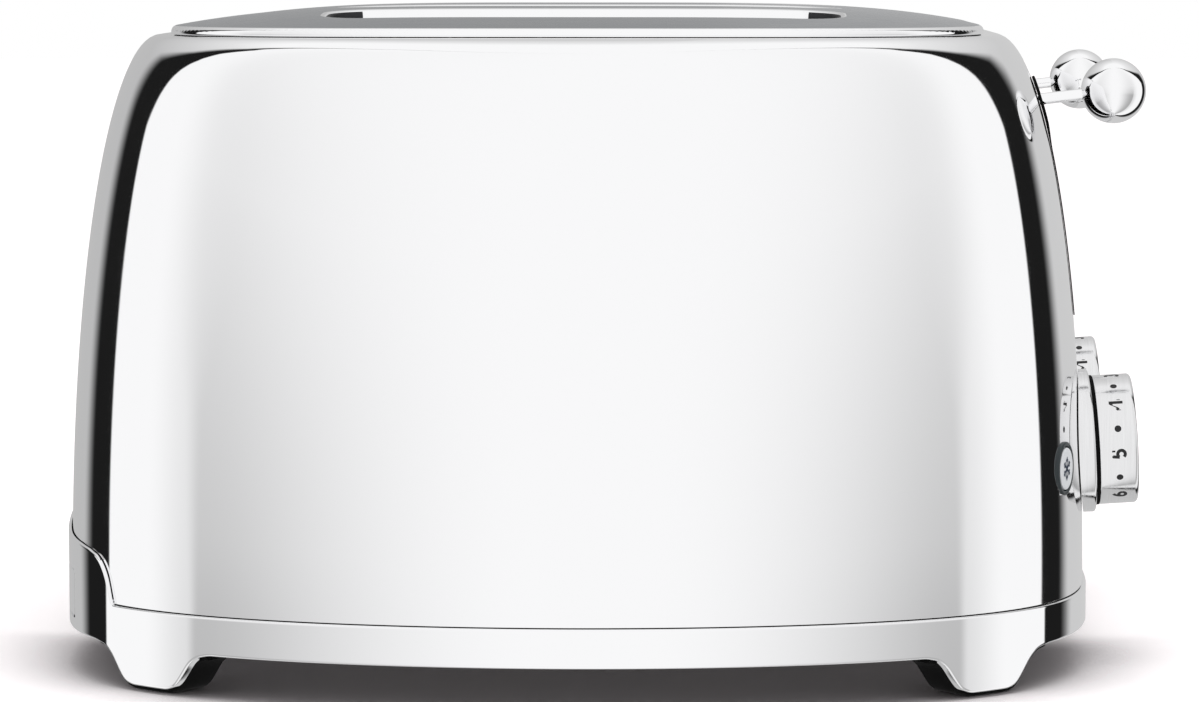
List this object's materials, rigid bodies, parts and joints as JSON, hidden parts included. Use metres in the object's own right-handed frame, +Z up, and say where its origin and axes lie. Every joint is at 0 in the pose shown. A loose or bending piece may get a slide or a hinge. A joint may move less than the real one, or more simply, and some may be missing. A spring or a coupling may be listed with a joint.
{
  "type": "four-slice toaster",
  "caption": "Domed polished-steel toaster with wide bread slots, ball-tipped levers, dials and press buttons on one end, and slide-out crumb trays.",
  "frame": {"origin": "middle of the whole part's box, on the plane the feet stand on", "axes": "+X from the rear to the levers, +Y across the four slots, +Z up"},
  "size_m": [0.337, 0.3864, 0.2036],
  "materials": {
    "bright_steel": "mirror polished",
    "satin_steel": "satin",
    "chromed_band": "polished",
    "plain_steel": "plain",
    "wire_steel": "drawn wire",
    "foot_rubber": "matte",
    "lever_chrome": "polished",
    "trim_chrome": "polished",
    "dial_finish": "polished",
    "heater_board": "mica",
    "circuit_board": "resin board",
    "button_white": "gloss",
    "button_dark": "gloss"
  },
  "bodies": {
    "body": {"body_shell": "bright_steel", "top_panel": "satin_steel", "base_skirt": "chromed_band", "bottom_plate": "plain_steel", "foot_pad_rear_near": "foot_rubber", "foot_pad_rear_far": "foot_rubber", "foot_pad_front_near": "foot_rubber", "foot_pad_front_far": "foot_rubber", "bread_guard_1": "wire_steel", "bread_guard_2": "wire_steel", "bread_guard_3": "wire_steel", "bread_guard_4": "wire_steel", "heater_1": "heater_board", "heater_2": "heater_board", "heater_3": "heater_board", "heater_4": "heater_board", "heater_5": "heater_board", "heater_6": "heater_board", "chamber_rear_plate": "plain_steel", "chamber_front_plate": "plain_steel", "lever_slot_trim_near": "trim_chrome", "guide_rod_near": "plain_steel", "return_spring_near": "wire_steel", "dial_bezel_near": "trim_chrome", "potentiometer_near": "plain_steel", "control_board_near": "circuit_board", "lever_slot_trim_far": "trim_chrome", "guide_rod_far": "plain_steel", "return_spring_far": "wire_steel", "dial_bezel_far": "trim_chrome", "potentiometer_far": "plain_steel", "control_board_far": "circuit_board", "button_ring_near_corner": "button_dark", "button_ring_near_inner": "button_dark", "button_ring_near_middle": "button_dark", "button_ring_far_corner": "button_dark", "button_ring_far_inner": "button_dark", "button_ring_far_middle": "button_dark", "cord_gland": "foot_rubber"},
    "lever_near": {"lever_carriage_near": "plain_steel", "lever_stem_near": "lever_chrome", "ball_knob_near": "lever_chrome", "bread_lift_1": "wire_steel", "bread_lift_2": "wire_steel"},
    "dial_near": {"dial_knob_near": "dial_finish"},
    "tray_near": {"crumb_tray_near": "satin_steel"},
    "lever_far": {"lever_carriage_far": "plain_steel", "lever_stem_far": "lever_chrome", "ball_knob_far": "lever_chrome", "bread_lift_3": "wire_steel", "bread_lift_4": "wire_steel"},
    "dial_far": {"dial_knob_far": "dial_finish"},
    "tray_far": {"crumb_tray_far": "satin_steel"},
    "button_near_corner": {"button_cap_near_corner": "button_white"},
    "button_near_inner": {"button_cap_near_inner": "button_white"},
    "button_near_middle": {"button_cap_near_middle": "button_white"},
    "button_far_corner": {"button_cap_far_corner": "button_white"},
    "button_far_inner": {"button_cap_far_inner": "button_white"},
    "button_far_middle": {"button_cap_far_middle": "button_white"}
  },
  "joints": [
    {"name": "lever_near_slide", "type": "slide", "parent": "body", "child": "lever_near", "axis": [0, 0, -1], "range_m": [0, 0.06], "stiffness_N_per_m": 150, "springref_m": -0.03, "deforming": ["return_spring_near"]},
    {"name": "dial_near_turn", "type": "hinge", "parent": "body", "child": "dial_near", "pos_m": [0.15946, -0.074, 0.0688], "axis": [0.998, 0, 0.0628], "range_deg": [-135, 90]},
    {"name": "tray_near_slide", "type": "slide", "parent": "body", "child": "tray_near", "axis": [-1, 0, 0], "range_m": [0, 0.2]},
    {"name": "lever_far_slide", "type": "slide", "parent": "body", "child": "lever_far", "axis": [0, 0, -1], "range_m": [0, 0.06], "stiffness_N_per_m": 150, "springref_m": -0.03, "deforming": ["return_spring_far"]},
    {"name": "dial_far_turn", "type": "hinge", "parent": "body", "child": "dial_far", "pos_m": [0.15946, 0.074, 0.0688], "axis": [0.998, 0, 0.0628], "range_deg": [-135, 90]},
    {"name": "tray_far_slide", "type": "slide", "parent": "body", "child": "tray_far", "axis": [-1, 0, 0], "range_m": [0, 0.2]},
    {"name": "button_near_corner_press", "type": "slide", "parent": "body", "child": "button_near_corner", "axis": [-0.9389, 0.3442, 0], "range_m": [0, 0.0015], "stiffness_N_per_m": 400, "springref_m": -0.001},
    {"name": "button_near_inner_press", "type": "slide", "parent": "body", "child": "button_near_inner", "axis": [-1, 0.0066, 0], "range_m": [0, 0.0015], "stiffness_N_per_m": 400, "springref_m": -0.001},
    {"name": "button_near_middle_press", "type": "slide", "parent": "body", "child": "button_near_middle", "axis": [-1, 0.0004, 0], "range_m": [0, 0.0015], "stiffness_N_per_m": 400, "springref_m": -0.001},
    {"name": "button_far_corner_press", "type": "slide", "parent": "body", "child": "button_far_corner", "axis": [-0.9389, -0.3442, 0], "range_m": [0, 0.0015], "stiffness_N_per_m": 400, "springref_m": -0.001},
    {"name": "button_far_inner_press", "type": "slide", "parent": "body", "child": "button_far_inner", "axis": [-1, -0.0066, 0], "range_m": [0, 0.0015], "stiffness_N_per_m": 400, "springref_m": -0.001},
    {"name": "button_far_middle_press", "type": "slide", "parent": "body", "child": "button_far_middle", "axis": [-1, -0.0004, 0], "range_m": [0, 0.0015], "stiffness_N_per_m": 400, "springref_m": -0.001}
  ]
}
